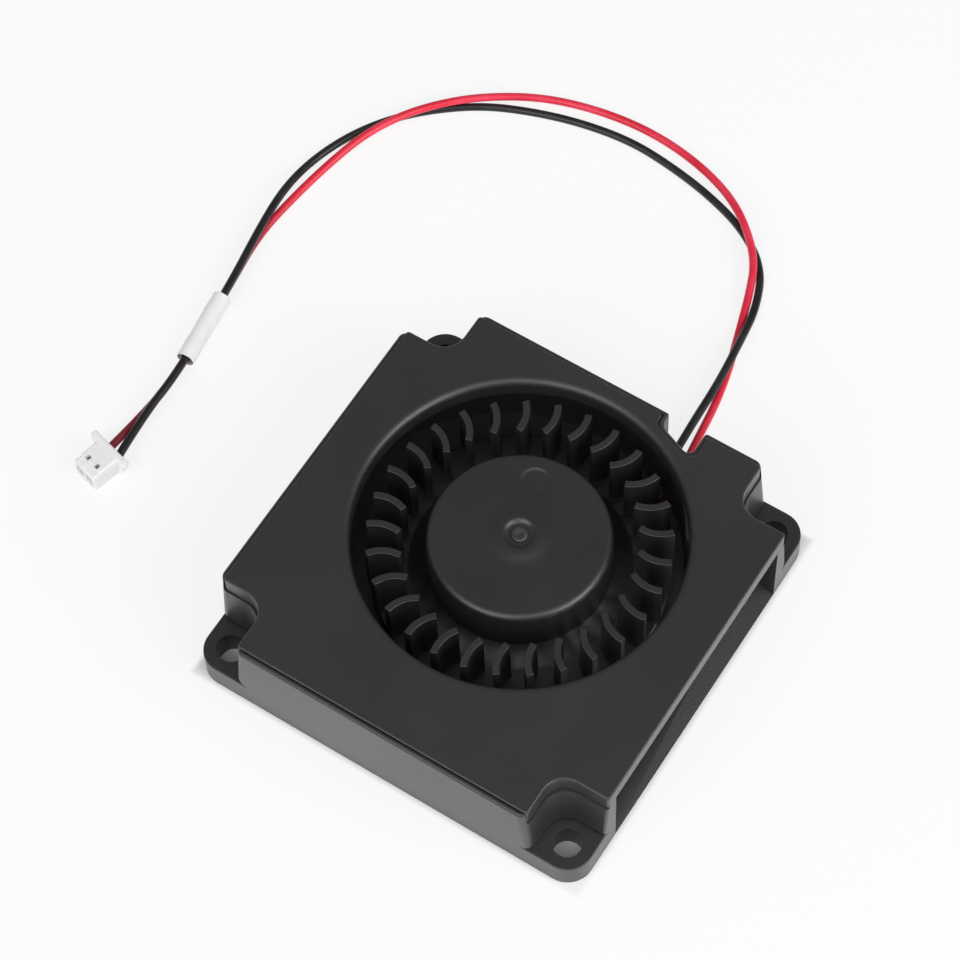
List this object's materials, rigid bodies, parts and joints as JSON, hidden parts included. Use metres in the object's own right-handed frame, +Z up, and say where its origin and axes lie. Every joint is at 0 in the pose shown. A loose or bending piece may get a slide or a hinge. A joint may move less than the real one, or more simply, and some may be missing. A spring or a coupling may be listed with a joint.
{
  "type": "dc blower fan",
  "caption": "Flat square centrifugal blower with a round top inlet, a side outlet, a drum impeller on a small motor, and a two-lead cord with a plug.",
  "frame": {"origin": "centre of the square footprint on the underside of the housing", "axes": "+Z up along the motor axis through the air inlet, +X out of the air outlet, +Y towards the side the leads come out of"},
  "size_m": [0.0617, 0.0706, 0.01],
  "materials": {
    "black_plastic": "fine matt moulded",
    "rotor_plastic": "satin moulded",
    "yoke_steel": "drawn, zinc plated",
    "magnet": "bonded ferrite",
    "shaft_steel": "ground",
    "nylon": "natural",
    "brass": "turned",
    "bronze": "sintered, oily",
    "core_steel": "laminated",
    "insulator_plastic": "moulded",
    "copper_wire": "enamelled winding",
    "circuit_board": "solder resist",
    "chip_body": "moulded",
    "capacitor_body": "plain",
    "solder": "satin",
    "red_insulation": "smooth sheath",
    "black_insulation": "smooth sheath",
    "white_sleeve": "shrunk, semi-gloss",
    "white_nylon": "moulded",
    "terminal_metal": "tin plated"
  },
  "bodies": {
    "housing": {"base_housing": "black_plastic", "top_cover": "black_plastic", "bearing_tube": "brass", "sleeve_bearing": "bronze", "thrust_pad": "nylon", "oil_seal_washer": "nylon", "stator_core": "core_steel", "upper_insulator": "insulator_plastic", "lower_insulator": "insulator_plastic", "coil_windings": "copper_wire", "circuit_board": "circuit_board", "driver_chip": "chip_body", "chip_capacitor": "capacitor_body", "chip_resistor": "chip_body", "solder_joints": "solder", "red_lead_inside": "red_insulation", "black_lead_inside": "black_insulation", "red_lead": "red_insulation", "black_lead": "black_insulation", "marker_sleeve": "white_sleeve", "plug_housing": "white_nylon", "crimp_terminals": "terminal_metal", "winding_pins": "terminal_metal"},
    "rotor": {"impeller": "rotor_plastic", "rotor_yoke": "yoke_steel", "ring_magnet": "magnet", "shaft": "shaft_steel", "retaining_ring": "nylon"}
  },
  "joints": [
    {"name": "rotor_spin", "type": "hinge", "parent": "housing", "child": "rotor", "pos_m": [0, 0.0028, 0], "axis": [0, 0, 1], "continuous": true}
  ]
}
